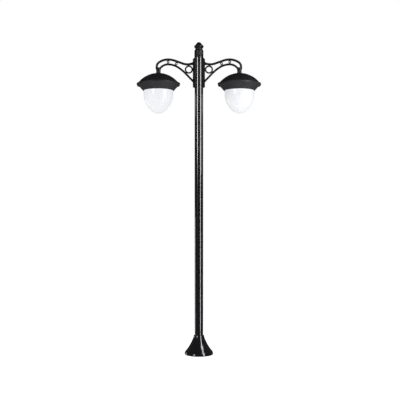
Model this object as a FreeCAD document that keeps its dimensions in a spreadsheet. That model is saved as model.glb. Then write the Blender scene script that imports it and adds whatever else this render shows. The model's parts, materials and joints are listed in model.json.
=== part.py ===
import FreeCAD
import Part
import Sketcher
import math
import os
import re

# Street lamp post with two curved arms. Millimetres; +Z up, arms along X, service door at +Y.
# The origin is the centre of the base, at ground level.

Vector = FreeCAD.Vector
SIZES = [
    ("post_height", 3000),
    # pole, base plate and base cover
    ("pole_diameter", 82.5),
    ("pole_wall", 3),
    ("pole_below_top", 95),
    ("plate_diameter", 236),
    ("plate_thickness", 12),
    ("anchor_circle", 190),
    ("anchor_hole", 18),
    ("cable_entry", 60),
    ("gusset_height", 60),
    ("gusset_reach", 55),
    ("gusset_thickness", 6),
    ("gusset_nose", 8),
    ("cover_foot_radius", 137),
    ("cover_foot_height", 31),
    ("cover_foot_draw", 8),
    ("cover_foot_curve", 42),
    ("cover_curve", 409),
    ("cover_height", 181),
    ("cover_wall", 5),
    ("collar_wall", 9),
    ("collar_height", 12),
    ("collar_gap", 0.8),
    ("collar_bevel", 1.5),
    ("collar_step", 1),
    ("collar_blend", 4),
    ("collar_depth", 6),
    ("cover_foot_lip", 1),
    ("cover_foot_rise", 2),
    ("cover_screw", 6),
    # service door in the back of the pole
    ("door_middle", 610),
    ("door_height", 170),
    ("door_width", 50),
    ("door_gap", 0.8),
    ("door_wall", 2.6),
    ("tab_wall", 3),
    ("tab_height", 24),
    ("tab_width", 30),
    ("weld_gap", 0.05),
    ("door_screw", 5),
    ("door_screw_head", 9),
    ("door_screw_sink", 2.4),
    ("door_screw_recess", 0.4),
    ("door_screw_length", 12),
    ("door_screw_key", 1.6),
    ("tab_thread_gap", 0.4),
    ("screw_gap", 0.2),
    ("key_depth", 3),
    ("board_depth", 12),
    ("board_wall", 3),
    ("board_margin", 5),
    ("board_gap", 0.2),
    ("terminal_height", 50),
    ("terminal_width", 44),
    ("terminal_depth", 19),
    ("terminal_notch", 3),
    ("terminal_notch_depth", 6),
    ("terminal_notch_rise", 12),
    ("fuse_height", 60),
    ("fuse_width", 20),
    ("fuse_depth", 26),
    ("fuse_grip", 4),
    ("board_spacing", 15),
    ("earth_stud", 8),
    ("earth_stud_length", 24),
    ("earth_nut_lift", 2),
    ("earth_nut_height", 6),
    # finial on the pole top
    ("finial_skirt", 147),
    ("finial_wall", 1.9),
    ("finial_gap", 0.2),
    ("finial_shoulder", 88),
    ("finial_neck_radius", 33.7),
    ("finial_neck", 64),
    ("finial_neck_flat", 4),
    ("finial_bulb_radius", 43.2),
    ("finial_bulb", 41),
    ("finial_bulb_under", 10),
    ("finial_bulb_over", 12),
    ("finial_bulb_hip", 3),
    ("finial_bulb_brow", 4),
    ("finial_button_radius", 23),
    ("finial_button", 12),
    ("finial_button_flare", 6),
    ("finial_button_flat", 13),
    ("finial_shoulder_curve", 18),
    ("finial_bulb_curve", 13),
    ("finial_button_curve", 15),
    ("finial_stop", 3),
    ("finial_screw", 5),
    ("finial_screw_rise", 14),
    # arms
    ("arm_reach", 390),
    ("upper_bar", 22),
    ("lower_bar", 20),
    ("bar_bore", 10),
    ("tip_offset", 16),
    ("tip_start", 23),
    ("tip_rise", 22),
    ("tip_curve", 50),
    ("tip_turn", 54.7),
    ("crown_curve", 152),
    ("shoulder_curve", 191),
    ("slope", 19.5),
    ("root_curve", 130),
    ("root_low", 110),
    ("bar_spacing", 47),
    ("lower_crown_curve", 95),
    ("lower_crown_turn", 58),
    ("lower_shoulder_curve", 180),
    ("lower_shoulder_turn", 33),
    ("lower_sweep_curve", 400),
    ("lower_sweep_turn", 13),
    ("big_ring_outer", 40),
    ("big_ring_bar", 15),
    ("small_ring_bar", 9),
    ("first_ring_inset", 79),
    ("ring_bite", 1),
    ("small_ring_lift", 0.5),
    ("saddle_depth", 17.4),
    ("saddle_angle", 94),
    ("saddle_gap", 0.2),
    ("saddle_above", 43),
    ("saddle_below", 45),
    ("saddle_chamfer", 13),
    ("saddle_foot_chamfer", 6),
    ("root_flare", 15),
    ("root_flare_length", 22),
    ("arm_screw", 8),
    ("arm_screw_head", 13),
    ("arm_screw_head_height", 5),
    ("arm_screw_inset", 20),
    ("arm_screw_gap", 0.3),
    ("arm_screw_seat", 1),
    ("arm_screw_key", 6),
    ("nut_overlap", 2),
    ("nut_length", 15),
    ("nut_wall", 2),
    ("grommet_bore", 12),
    ("grommet_wall", 3),
    ("grommet_lift", 1.5),
    ("grommet_lip", 1.5),
    ("boss_radius", 21),
    ("boss_swell", 26.5),
    ("boss_height", 36),
    ("boss_neck", 8),
    ("boss_taper", 11),
    ("boss_bevel", 6),
    ("boss_cavity", 16),
    ("boss_cavity_depth", 20),
    ("cable_diameter", 7),
    ("cable_bend", 18),
    ("cable_jog", 12),
    ("cable_tail", 4),
    ("cable_lead", 6),
    # heads
    ("apex_below_top", 298),
    ("neck_height", 20),
    ("neck_radius", 22.3),
    ("neck_bevel", 1),
    ("stem_diameter", 20),
    ("stem_bore", 12),
    ("stem_above", 34),
    ("stem_below", 20),
    ("locknut_radius", 17),
    ("locknut_height", 8),
    ("dome_radius", 197),
    ("dome_height", 104),
    ("dome_flat", 22),
    ("dome_wall", 3),
    ("rim_band", 8),
    ("rim_flange", 12),
    ("parting_gap", 2),
    ("gasket_gap", 0.3),
    ("gasket_inset", 3),
    ("gasket_width", 8),
    ("pin_diameter", 6),
    ("pin_out", 5),
    ("ear_radius", 7),
    ("ear_wall", 6),
    ("knuckle_width", 11),
    ("knuckle_gap", 0.7),
    ("knuckle_room", 1.5),
    ("knuckle_trim", 0.5),
    ("pin_gap", 0.08),
    ("pin_head", 2),
    ("pin_head_rim", 1.2),
    ("lug_rise", 26),
    ("lug_drop", 22),
    ("lug_inset", 15.5),
    ("lug_curve", 22),
    ("frame_height", 62),
    ("frame_lip", 6),
    ("frame_wall", 2.7),
    ("throat_radius", 143.5),
    ("throat_wall", 3.5),
    ("ledge_height", 8),
    ("diffuser_radius", 142.5),
    ("diffuser_neck", 142),
    ("diffuser_wall", 2.5),
    ("diffuser_depth", 189),
    ("diffuser_tip_curve", 95.5),
    ("diffuser_widest", 29),
    ("diffuser_step", 4),
    ("seal_height", 1.2),
    ("flange_width", 4),
    ("flange_gap", 0.5),
    ("flange_height", 3),
    ("clip_length", 18),
    ("clip_width", 16),
    ("clip_height", 2),
    ("clip_screw", 3),
    ("clip_screw_head", 5.4),
    ("clip_screw_rise", 2.4),
    ("clip_screw_slot", 0.8),
    ("clip_screw_inset", 1.2),
    ("clip_edge", 3.6),
    ("catch_leg", 1),
    ("catch_gap", 0.6),
    ("catch_rise", 2),
    ("holder_radius", 24),
    ("holder_height", 54),
    ("holder_bore", 30),
    ("holder_lap", 6),
    ("holder_shoulder", 10),
    ("holder_floor", 16),
    ("lamp_cap_radius", 13),
    ("lamp_cap_height", 26),
    ("lamp_cap_gap", 2),
    ("lamp_cap_tip", 5),
    ("lamp_neck", 10),
    ("lamp_swell", 29),
    ("lamp_radius", 30),
    ("lamp_length", 134),
]

doc = FreeCAD.newDocument("StreetLampPost")
sheet = doc.addObject("Spreadsheet::Sheet", "Sizes")
ALIASES = set()
for row, (alias, value) in enumerate(SIZES, start=1):
    sheet.set(f"A{row}", str(value))
    sheet.setAlias(f"A{row}", alias)
    ALIASES.add(alias)
doc.recompute()

# Heights and radii that several pieces share, as formulas of the sheet's sizes.
POLE_R = "pole_diameter / 2"
POLE_TOP = "(post_height - pole_below_top)"
APEX = "(post_height - apex_below_top)"
RIM = f"({APEX} - dome_height)"
FRAME_TOP = f"({RIM} - parting_gap)"
THROAT = f"({FRAME_TOP} - frame_height)"
LEDGE = f"({THROAT} + ledge_height)"
PIN_X = "(dome_radius + pin_out)"
PIN_Z = f"({RIM} + ear_radius)"
BOSS = f"({APEX} + neck_height)"
HOLDER_TOP = f"({APEX} - stem_below + holder_lap)"

SIDES = {"right": 1, "left": -1}
# Each head has two lugs: the hinge outside and the catch inside.
LUG_SIDES = (1, -1)
nodes = {}


def bind(formula):
    """The formula with each size pointing at its cell of the sheet."""
    return re.sub(r"[a-z_]+", lambda word: name_in_sheet(word.group()), str(formula))


def name_in_sheet(word):
    if word in ALIASES:
        return f"Sizes.{word}"
    return word


def size(formula):
    """The formula's value in millimetres or degrees."""
    return float(sheet.evalExpression(bind(formula)))


def keep(piece, label):
    piece.Label = label
    nodes[label] = piece
    return piece


def place_at(piece, x="0", y="0", z="0", turn=0):
    """Stands a piece at a place, turned about the vertical."""
    spin = FreeCAD.Rotation(Vector(0, 0, 1), turn)
    piece.Placement = FreeCAD.Placement(Vector(size(x), size(y), size(z)), spin)
    for axis, formula in (("x", x), ("y", y), ("z", z)):
        piece.setExpression(f"Placement.Base.{axis}", bind(formula))
    return piece


def at_head(piece, side):
    """Moves a piece from the origin to the axis of one head; the left side is turned half round."""
    sign = SIDES[side]
    return place_at(piece, x=f"{sign} * arm_reach", turn=90 - 90 * sign)


# ---- Bodies, sketches and their features ----


def new_body(name):
    body = doc.addObject("PartDesign::Body", name)
    body.AllowCompound = True
    return body


def origin_feature(body, role):
    return [item for item in body.Origin.OriginFeatures if item.Role == role][0]


def new_sketch(body, plane, offset=None):
    """A sketch on an origin plane, moved along the plane's normal by an optional offset."""
    sketch = body.newObject("Sketcher::SketchObject", "Sketch")
    sketch.AttachmentSupport = [(origin_feature(body, f"{plane}_Plane"), "")]
    sketch.MapMode = "FlatFace"
    if offset is not None:
        sketch.AttachmentOffset = FreeCAD.Placement(Vector(0, 0, size(offset)), FreeCAD.Rotation())
        sketch.setExpression("AttachmentOffset.Base.z", bind(offset))
    return sketch


def constrain(sketch, kind, *values, formula=None):
    """Adds a constraint; a formula ties its value to the sheet."""
    if formula is not None:
        values = values + (size(formula),)
    index = sketch.addConstraint(Sketcher.Constraint(kind, *values))
    if formula is not None:
        sketch.setExpression(f"Constraints[{index}]", bind(formula))


def fix_point(sketch, edge, end, x, y):
    """Ties an edge's end to the place (x, y), on the axes where that place is zero."""
    if abs(size(x)) < 1e-9:
        constrain(sketch, "PointOnObject", edge, end, -2)
    else:
        constrain(sketch, "DistanceX", -1, 1, edge, end, formula=x)
    if abs(size(y)) < 1e-9:
        constrain(sketch, "PointOnObject", edge, end, -1)
    else:
        constrain(sketch, "DistanceY", -1, 1, edge, end, formula=y)


def arc_middle(start, end, radius, side):
    """The middle of the short arc from start to end; side is 1 where it turns left, -1 right."""
    chord = end - start
    half = chord.Length / 2
    left = Vector(-chord.y, chord.x, 0).normalize()
    to_centre = math.sqrt(max(radius**2 - half**2, 0))
    return (start + end) / 2 - left * side * (radius - to_centre)


def axis_radius(start, end):
    """Radius of the circle through two points whose centre is on the sketch's vertical axis."""
    centre = (end.x**2 - start.x**2 + end.y**2 - start.y**2) / (2 * (end.y - start.y))
    return math.hypot(start.x, start.y - centre)


def draw_outline(sketch, outline):
    """A closed outline of corners (x, y), or (x, y, side, radius) before an arc.

    An arc with the radius "axis" has its centre on the vertical axis.
    """
    corners = [Vector(size(corner[0]), size(corner[1]), 0) for corner in outline]
    ends = []
    for index, corner in enumerate(outline):
        start = corners[index]
        end = corners[(index + 1) % len(corners)]
        if len(corner) == 2:
            sketch.addGeometry(Part.LineSegment(start, end))
            ends.append((1, 2))
            continue
        side, radius = corner[2:]
        if radius == "axis":
            length = axis_radius(start, end)
        else:
            length = size(radius)
        sketch.addGeometry(Part.Arc(start, arc_middle(start, end, length, side), end))
        ends.append((1, 2) if side > 0 else (2, 1))
    for index, corner in enumerate(outline):
        before = index - 1 if index else len(outline) - 1
        constrain(sketch, "Coincident", before, ends[before][1], index, ends[index][0])
        fix_point(sketch, index, ends[index][0], corner[0], corner[1])
        if len(corner) == 4 and corner[3] == "axis":
            constrain(sketch, "PointOnObject", index, 3, -2)
        elif len(corner) == 4:
            constrain(sketch, "Radius", index, formula=corner[3])


def draw_circle(sketch, x, y, radius):
    centre = Vector(size(x), size(y), 0)
    edge = sketch.addGeometry(Part.Circle(centre, Vector(0, 0, 1), size(radius)))
    fix_point(sketch, edge, 3, x, y)
    constrain(sketch, "Radius", edge, formula=radius)


def box_outline(x_low, x_high, y_low, y_high):
    return [(x_low, y_low), (x_high, y_low), (x_high, y_high), (x_low, y_high)]


def finish_feature(body, feature, removes):
    """Recomputes a body and refuses a feature that adds or removes nothing."""
    before = feature.BaseFeature.Shape.Volume if feature.BaseFeature else 0
    body.Tip = feature
    doc.recompute()
    change = feature.Shape.Volume - before
    if (removes and change > -1e-3) or (not removes and change < 1e-3):
        raise RuntimeError(f"{body.Label}: {feature.Name} changed the volume by {change}")
    return feature


def spin(body, outline):
    """Turns an outline of (radius, height) about the vertical axis."""
    sketch = new_sketch(body, "XZ")
    draw_outline(sketch, outline)
    feature = body.newObject("PartDesign::Revolution", "Revolution")
    feature.Profile = sketch
    feature.ReferenceAxis = (sketch, ["V_Axis"])
    feature.Angle = 360
    finish_feature(body, feature, False)


def extrude(body, plane, length, outline=None, circle=None, offset=None, kind="Pad"):
    """Pads or pockets an outline or a circle by the length, half on each side of its plane."""
    sketch = new_sketch(body, plane, offset)
    if outline:
        draw_outline(sketch, outline)
    else:
        draw_circle(sketch, *circle)
    feature = body.newObject(f"PartDesign::{kind}", kind)
    feature.Profile = sketch
    feature.SideType = "Symmetric"
    feature.Length = size(length)
    feature.setExpression("Length", bind(length))
    return finish_feature(body, feature, kind == "Pocket")


def repeat_round(body, feature, count, removes=False):
    """Repeats a feature evenly about the vertical axis."""
    pattern = body.newObject("PartDesign::PolarPattern", "PolarPattern")
    pattern.Originals = [feature]
    pattern.Axis = (origin_feature(body, "Z_Axis"), [""])
    pattern.Angle = 360
    pattern.Occurrences = count
    body.Tip = pattern
    doc.recompute()
    if (pattern.Shape.Volume < feature.Shape.Volume) != removes:
        raise RuntimeError(f"{body.Label}: the pattern has no effect")
    return pattern


def spun_body(label, outline):
    body = keep(new_body(label), label)
    spin(body, outline)
    return body


# ---- Part primitives and booleans ----

TURNS = {
    "x": FreeCAD.Rotation(Vector(0, 1, 0), 90),
    "y": FreeCAD.Rotation(Vector(1, 0, 0), -90),
    "z": FreeCAD.Rotation(),
}


def rod(radius, length, along="z", x="0", y="0", z="0", top_radius=None):
    """A cylinder, or a cone where it has a top radius, from (x, y, z) in the direction of an axis."""
    if top_radius is None:
        solid = doc.addObject("Part::Cylinder", "Cylinder")
        measures = [("Radius", radius), ("Height", length)]
    else:
        solid = doc.addObject("Part::Cone", "Cone")
        measures = [("Radius1", radius), ("Radius2", top_radius), ("Height", length)]
    for name, formula in measures:
        solid.setExpression(name, bind(formula))
    place_at(solid, x, y, z)
    solid.Placement = FreeCAD.Placement(solid.Placement.Base, TURNS[along])
    return solid


def block(x_low, x_high, y_low, y_high, z_low, z_high):
    """A box between two corners."""
    solid = doc.addObject("Part::Box", "Box")
    spans = (("Length", x_low, x_high), ("Width", y_low, y_high), ("Height", z_low, z_high))
    for name, low, high in spans:
        solid.setExpression(name, bind(f"({high}) - ({low})"))
    return place_at(solid, x_low, y_low, z_low)


def cut(base, *tools):
    for tool in tools:
        result = doc.addObject("Part::Cut", "Cut")
        result.Base = base
        result.Tool = tool
        base = result
    return base


def joined(*solids):
    result = doc.addObject("Part::MultiFuse", "Fusion")
    result.Shapes = list(solids)
    return result


def shared(*solids):
    result = doc.addObject("Part::MultiCommon", "Common")
    result.Shapes = list(solids)
    return result


def group(label, *solids):
    """Separate solids that are kept as one node."""
    result = doc.addObject("Part::Compound", label)
    result.Links = list(solids)
    return keep(result, label)


# ---- Routes of the arms' bars and of the cables, in the XZ plane ----


def walk(start, heading, steps):
    """Edges of a route of lines (length,) and tangent arcs (radius, turn), with its end and heading."""
    point = Vector(start)
    edges = []
    for step in steps:
        ahead = Vector(math.cos(math.radians(heading)), 0, math.sin(math.radians(heading)))
        if len(step) == 1:
            end = point + ahead * step[0]
            edges.append(Part.LineSegment(point, end).toShape())
        else:
            radius, turn = step
            left = Vector(-ahead.z, 0, ahead.x) * math.copysign(radius, turn)
            centre = point + left
            about = Vector(0, -1, 0)
            middle = centre + FreeCAD.Rotation(about, turn / 2).multVec(-left)
            end = centre + FreeCAD.Rotation(about, turn).multVec(-left)
            edges.append(Part.Arc(point, middle, end).toShape())
            heading += turn
        point = end
    return edges, point, heading


def round_bar(edges, radius):
    """A round bar along a route."""
    route = Part.Wire(edges)
    first = edges[0]
    start = first.valueAt(first.FirstParameter)
    tangent = first.tangentAt(first.FirstParameter)
    return route.makePipeShell([Part.Wire(Part.makeCircle(radius, start, tangent))], True, False)


def upper_route():
    """The upper bar's axis from the head inwards, and its crown, and its end at the pole."""
    start = Vector(size("arm_reach + tip_offset"), 0, size(f"{BOSS} + tip_start"))
    tip_turn = size("tip_turn")
    slope = size("slope")
    outer, crown, heading = walk(
        start,
        90,
        [(size("tip_rise"),), (size("tip_curve"), tip_turn), (size("crown_curve"), 90 - tip_turn)],
    )
    shoulder_span = size("shoulder_curve + root_curve") * math.sin(math.radians(slope))
    straight = (crown.x - size("root_low") - shoulder_span) / math.cos(math.radians(slope))
    rise = size(f"root_low - {POLE_R} - saddle_gap") / size("root_curve")
    inner, root, heading = walk(
        crown,
        heading,
        [
            (size("shoulder_curve"), slope),
            (straight,),
            (size("root_curve"), -slope),
            (size("root_curve"), -math.degrees(math.asin(rise))),
        ],
    )
    return outer + inner, crown, root, heading


def lower_route(crown):
    """The lower bar's axis from the head inwards, under the upper bar's crown, and its end."""
    turn = size("lower_crown_turn")
    radius = size("lower_crown_curve")
    top = crown - Vector(0, 0, size("bar_spacing"))
    drop = radius * (1 - math.cos(math.radians(turn)))
    start = top + Vector(radius * math.sin(math.radians(turn)), 0, -drop)
    outer, bend, heading = walk(
        start,
        180 - turn,
        [
            (radius, turn),
            (size("lower_shoulder_curve"), size("lower_shoulder_turn")),
            (size("lower_sweep_curve"), size("lower_sweep_turn")),
        ],
    )
    steep = math.radians(heading - 180)
    straight = (bend.x - size(f"{POLE_R} + saddle_gap")) / math.cos(steep)
    last, root, _ = walk(bend, heading, [(straight,)])
    return outer + last, bend, steep, root


upper_edges, crown, upper_root, root_heading = upper_route()
lower_edges, lower_bend, lower_steep, lower_root = lower_route(crown)
saddle_top = upper_root.z + size("saddle_above")
saddle_foot = lower_root.z - size("saddle_below")
cable_level = f"{upper_root.z} + grommet_lift"
arm_screw_heights = [
    saddle_top - size("arm_screw_inset"),
    saddle_foot + size("arm_screw_inset"),
]


def lower_height(x):
    """Height of the lower bar's axis on its straight stretch."""
    return lower_bend.z - (lower_bend.x - x) * math.tan(lower_steep)


def saddle():
    """The pad that clasps the side of the pole, chamfered at its top and foot."""
    inner = size(f"{POLE_R} + saddle_gap")
    outer = inner + size("saddle_depth")
    top_cut = size("saddle_chamfer")
    foot_cut = size("saddle_foot_chamfer")
    corners = [
        Vector(inner, 0, saddle_foot),
        Vector(outer - foot_cut, 0, saddle_foot),
        Vector(outer, 0, saddle_foot + foot_cut),
        Vector(outer, 0, saddle_top - top_cut),
        Vector(outer - top_cut, 0, saddle_top),
        Vector(inner, 0, saddle_top),
    ]
    face = Part.Face(Part.makePolygon(corners + corners[:1]))
    spread = size("saddle_angle")
    face.rotate(Vector(0, 0, 0), Vector(0, 0, 1), -spread / 2)
    return face.revolve(Vector(0, 0, 0), Vector(0, 0, 1), spread)


def boss():
    """The bell-shaped boss that the head hangs from, on the head's axis."""
    bottom = size(BOSS)
    top = bottom + size("boss_height")
    neck = size("boss_radius")
    swell = size("boss_swell")
    bevel = size("boss_bevel")
    corners = [
        Vector(0, 0, bottom),
        Vector(neck, 0, bottom),
        Vector(neck, 0, bottom + size("boss_neck")),
        Vector(swell, 0, top - size("boss_taper")),
        Vector(swell, 0, top - bevel),
        Vector(swell - bevel, 0, top),
        Vector(0, 0, top),
    ]
    face = Part.Face(Part.makePolygon(corners + corners[:1]))
    solid = face.revolve(Vector(0, 0, 0), Vector(0, 0, 1), 360)
    solid.translate(Vector(size("arm_reach"), 0, 0))
    return solid


def ring(x, z, outer, bar):
    """A round ring that stands in the arm's plane."""
    return Part.makeTorus(outer - bar / 2, bar / 2, Vector(x, 0, z), Vector(0, 1, 0))


def bar_heights(edges, x):
    """Height of a bar's axis at the distance x from the pole's axis."""
    line = Part.LineSegment(Vector(x, 0, 0), Vector(x, 0, 2 * size("post_height"))).toShape()
    for edge in edges:
        gap, points, _ = edge.distToShape(line)
        if gap < 1e-6:
            return points[0][0].z
    raise RuntimeError("the bar doesn't reach this distance")


def rings():
    """One big ring in the corner at the pole, and two small ones between the bars."""
    bite = size("ring_bite")
    outer = size("big_ring_outer")
    low_z = bar_heights(upper_edges, size("root_low"))
    z = low_z - size("upper_bar") / 2 - outer + bite
    reach = outer + size("lower_bar") / 2 - bite
    x = size("root_low")
    for _ in range(30):
        gap = (z - lower_height(x)) * math.cos(lower_steep)
        x += (gap - reach) / math.sin(lower_steep)
    made = [ring(x, z, outer, size("big_ring_bar"))]
    for ring_x in (crown.x, crown.x - size("first_ring_inset")):
        top = bar_heights(upper_edges, ring_x)
        bottom = bar_heights(lower_edges, ring_x)
        tilt = math.cos(math.atan2(top - bar_heights(upper_edges, ring_x - 5), 5))
        outer = (top - bottom - size("upper_bar + lower_bar") / 2) / 2 * tilt + bite
        middle = (top + bottom) / 2 + size("small_ring_lift")
        made.append(ring(ring_x, middle, outer, size("small_ring_bar")))
    return made


def arm_casting():
    """One cast arm for the right side: saddle, two bars, rings and boss, bored for its cable."""
    inward = Vector(math.cos(math.radians(root_heading)), 0, math.sin(math.radians(root_heading)))
    flare = Part.makeCone(
        size("root_flare"),
        size("upper_bar") / 2,
        size("saddle_depth + root_flare_length"),
        upper_root,
        -inward,
    )
    flare_trim = Part.makeCylinder(size(f"{POLE_R} + saddle_gap"), size("post_height"))
    outside = [
        saddle(),
        round_bar(upper_edges, size("upper_bar") / 2),
        round_bar(lower_edges, size("lower_bar") / 2),
        flare,
        boss(),
    ]
    casting = outside[0].multiFuse(outside[1:] + rings()).cut(flare_trim)
    bore_end = Part.LineSegment(upper_root, upper_root + inward * size("saddle_depth")).toShape()
    bores = [round_bar(upper_edges + [bore_end], size("bar_bore") / 2)]
    depth = size("boss_cavity_depth")
    bottom = Vector(size("arm_reach"), 0, size(BOSS) - 1)
    bores.append(Part.makeCylinder(size("stem_diameter") / 2, depth, bottom))
    cavity = Vector(size("arm_reach"), 0, size(f"{APEX} + stem_above - 2"))
    bores.append(Part.makeCylinder(size("boss_cavity"), depth, cavity))
    back = size(POLE_R)
    face = size(f"{POLE_R} + saddle_gap + saddle_depth")
    along = Vector(1, 0, 0)
    length = 2 * size("saddle_depth")
    for height in arm_screw_heights:
        start = Vector(back - 1, 0, height)
        bores.append(Part.makeCylinder(size("arm_screw / 2 + arm_screw_gap"), length, start, along))
        seat = Vector(face - size("arm_screw_head_height + arm_screw_seat"), 0, height)
        bores.append(Part.makeCylinder(size("arm_screw_head / 2 + arm_screw_gap"), length, seat, along))
    casting = casting.cut(bores[0].multiFuse(bores[1:]))
    solids = sorted(casting.Solids, key=lambda solid: solid.Volume)
    return solids[-1].removeSplitter()


def computed(label, shape, turn=0):
    """A piece whose shape is worked out here, turned about the vertical afterwards."""
    piece = doc.addObject("Part::Feature", label)
    piece.Shape = shape
    piece.Placement = FreeCAD.Placement(Vector(0, 0, 0), FreeCAD.Rotation(Vector(0, 0, 1), turn))
    return keep(piece, label)


def make_arms():
    casting = arm_casting()
    for side, sign in SIDES.items():
        computed(f"arm_{side}", casting, 90 - 90 * sign)
        screws = []
        nuts = []
        for height in arm_screw_heights:
            level = str(height)
            seat = f"{POLE_R} + saddle_gap + saddle_depth - arm_screw_head_height - arm_screw_seat"
            start = f"{POLE_R} - nut_length + nut_overlap"
            shank = rod("arm_screw / 2", f"{seat} - ({start})", "x", x=start, z=level)
            head = rod("arm_screw_head / 2", "arm_screw_head_height", "x", x=seat, z=level)
            socket_x = f"{seat} + arm_screw_head_height - key_depth"
            socket = rod("arm_screw_key / 2", "key_depth + 1", "x", x=socket_x, z=level)
            screws.append(cut(joined(shank, head), socket))
            nut_x = f"{POLE_R} - nut_length"
            barrel = rod("arm_screw / 2 + nut_wall", "nut_length", "x", x=nut_x, z=level)
            thread = rod("arm_screw / 2", "nut_length + 2", "x", x=f"{nut_x} - 1", z=level)
            nuts.append(shared(cut(barrel, thread), rod(POLE_R, "post_height")))
        for label, pieces in ((f"arm_screws_{side}", screws), (f"rivet_nuts_{side}", nuts)):
            place_at(group(label, *pieces), turn=90 - 90 * sign)
        hole_x = f"{POLE_R} - pole_wall - grommet_lip"
        level = cable_level
        length = "pole_wall + grommet_lip"
        sleeve = rod("grommet_bore / 2 + grommet_wall", length, "x", x=hole_x, z=level)
        opening = rod("grommet_bore / 2", f"{length} + 2", "x", x=f"{hole_x} - 1", z=level)
        grommet = shared(cut(sleeve, opening), rod(POLE_R, "post_height"))
        place_at(keep(grommet, f"cable_grommet_{side}"), turn=90 - 90 * sign)


def make_cables():
    """One cable per lamp: up its stem, through the upper bar, and down the pole to the terminals."""
    radius = size("cable_diameter") / 2
    jog_radius = size("cable_jog")
    shift = size("tip_offset")
    turn = math.degrees(math.acos(1 - shift / (2 * jog_radius)))
    jog_height = 2 * jog_radius * math.sin(math.radians(turn))
    start = Vector(size("arm_reach"), 0, size(f"{HOLDER_TOP} - cable_tail"))
    tip = size(f"{BOSS} + tip_start + tip_rise")
    jog_start = size(f"{APEX} + stem_above")
    rise = tip - jog_start - jog_height
    entry, _, _ = walk(
        start,
        90,
        [(jog_start - start.z,), (jog_radius, -turn), (jog_radius, turn), (rise,)],
    )
    drop_start, bend, _ = walk(
        upper_root,
        root_heading,
        [(size("pole_wall + cable_lead"),), (size("cable_bend"), 270 - root_heading)],
    )
    terminal_top = size("door_middle + door_height / 2 - board_spacing")
    down, _, _ = walk(bend, 270, [(bend.z - terminal_top,)])
    route = entry + upper_edges[1:] + drop_start + down
    cable = round_bar(route, radius)
    length = sum(edge.Length for edge in route)
    ratio = cable.Volume / (math.pi * radius**2 * length)
    if abs(ratio - 1) > 0.01:
        raise RuntimeError(f"the cable's volume is {ratio} of its section times its length")
    for side, sign in SIDES.items():
        computed(f"lamp_cable_{side}", cable, 90 - 90 * sign)


# ---- Pole, base and service door ----


def pole_shell(outer, inner, low, high):
    """A round wall about the pole's axis."""
    length = f"({high}) - ({low})"
    return cut(rod(outer, length, z=low), rod(inner, f"{length} + 2", z=f"({low}) - 1"))


DOOR_LOW = "(door_middle - door_height / 2)"
DOOR_HIGH = "(door_middle + door_height / 2)"
DOOR_SCREW_HEIGHTS = [f"{DOOR_LOW} + tab_height / 4", f"{DOOR_HIGH} - tab_height / 4"]


def make_pole():
    wall = pole_shell(POLE_R, f"{POLE_R} - pole_wall", "plate_thickness", POLE_TOP)
    holes = [block("-door_width / 2", "door_width / 2", "0", POLE_R, DOOR_LOW, DOOR_HIGH)]
    across = "pole_diameter + 2"
    outside = f"-{POLE_R} - 1"
    for height in arm_screw_heights:
        holes.append(rod("arm_screw / 2 + nut_wall", across, "x", x=outside, z=str(height)))
    holes.append(rod("grommet_bore / 2 + grommet_wall", across, "x", x=outside, z=cable_level))
    keep(cut(wall, joined(*holes)), "pole_tube")

    plate = rod("plate_diameter / 2", "plate_thickness")
    tools = [rod("cable_entry / 2", "plate_thickness + 2", z="-1")]
    for quarter in range(4):
        turn = math.radians(45 + 90 * quarter)
        x = f"anchor_circle / 2 * {math.cos(turn)}"
        y = f"anchor_circle / 2 * {math.sin(turn)}"
        tools.append(rod("anchor_hole / 2", "plate_thickness + 2", x=x, y=y, z="-1"))
    keep(cut(plate, joined(*tools)), "base_plate")

    body = keep(new_body("base_gussets"), "base_gussets")
    foot = "plate_thickness"
    corners = [
        (POLE_R, foot),
        (f"{POLE_R} + gusset_reach", foot),
        (f"{POLE_R} + gusset_reach", f"{foot} + gusset_nose"),
        (f"{POLE_R} + gusset_nose", f"{foot} + gusset_height"),
        (POLE_R, f"{foot} + gusset_height"),
    ]
    rib = extrude(body, "XZ", "gusset_thickness", outline=corners)
    repeat_round(body, rib, 4)


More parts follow.
